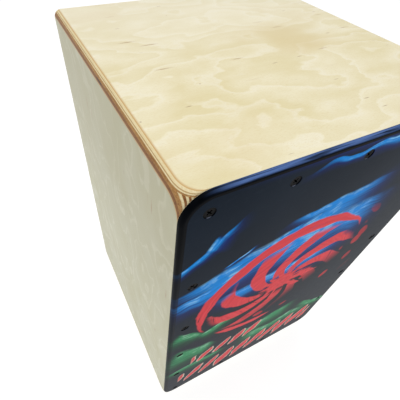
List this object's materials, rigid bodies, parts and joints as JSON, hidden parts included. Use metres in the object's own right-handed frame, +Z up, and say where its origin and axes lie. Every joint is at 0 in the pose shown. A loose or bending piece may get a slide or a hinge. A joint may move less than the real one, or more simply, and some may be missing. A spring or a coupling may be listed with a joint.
{
  "type": "cajon",
  "caption": "Box-shaped wooden hand drum with a screwed-on playing face, a sound hole in the back, rubber feet and a tunable string snare inside.",
  "frame": {"origin": "floor level under the middle of the drum", "axes": "+X to the right seen from the playing face, +Y from the playing face to the back, +Z up"},
  "size_m": [0.3, 0.304, 0.492],
  "materials": {
    "birch_ply": "clear satin lacquer",
    "printed_face": "printed, gloss lacquer",
    "black_steel": "black",
    "pine": "planed",
    "rubber": "matte",
    "zinc_steel": "bright zinc",
    "beech": "planed",
    "brass": "machined",
    "string_steel": "wound wire"
  },
  "bodies": {
    "box": {"top_panel": "birch_ply", "bottom_panel": "birch_ply", "left_side_panel": "birch_ply", "right_side_panel": "birch_ply", "back_panel": "birch_ply", "tapa": "printed_face", "tapa_screws": "black_steel", "front_top_batten": "pine", "front_bottom_batten": "pine", "front_left_batten": "pine", "front_right_batten": "pine", "front_left_foot": "rubber", "front_right_foot": "rubber", "back_left_foot": "rubber", "back_right_foot": "rubber", "foot_washers": "zinc_steel", "foot_screws": "zinc_steel", "snare_bar": "pine", "snare_bridge": "beech", "string_clamp_bar": "zinc_steel", "clamp_bar_screws": "zinc_steel", "left_carriage_guide": "zinc_steel", "right_carriage_guide": "zinc_steel", "guide_screws": "zinc_steel", "tension_washers": "zinc_steel"},
    "left_screw": {"left_tension_screw": "zinc_steel"},
    "right_screw": {"right_tension_screw": "zinc_steel"},
    "left_carriage": {"left_string_carriage": "brass", "snare_string_1": "string_steel", "snare_string_2": "string_steel"},
    "right_carriage": {"right_string_carriage": "brass", "snare_string_3": "string_steel", "snare_string_4": "string_steel"}
  },
  "joints": [
    {"name": "left_screw_turn", "type": "hinge", "parent": "box", "child": "left_screw", "pos_m": [-0.03, -0.139, 0.016], "axis": [0, 0, 1], "range_deg": [-1441, 1441]},
    {"name": "left_carriage_slide", "type": "slide", "parent": "box", "child": "left_carriage", "axis": [0, 0, 1], "range_m": [-0.004, 0.004], "deforming": ["snare_string_1", "snare_string_2"]},
    {"name": "right_screw_turn", "type": "hinge", "parent": "box", "child": "right_screw", "pos_m": [0.03, -0.139, 0.016], "axis": [0, 0, 1], "range_deg": [-1441, 1441]},
    {"name": "right_carriage_slide", "type": "slide", "parent": "box", "child": "right_carriage", "axis": [0, 0, 1], "range_m": [-0.004, 0.004], "deforming": ["snare_string_3", "snare_string_4"]}
  ],
  "couplings": [
    {"joint": "left_screw_turn", "follows": "left_carriage_slide", "rad_per_m": 6283.2},
    {"joint": "right_screw_turn", "follows": "right_carriage_slide", "rad_per_m": 6283.2}
  ]
}
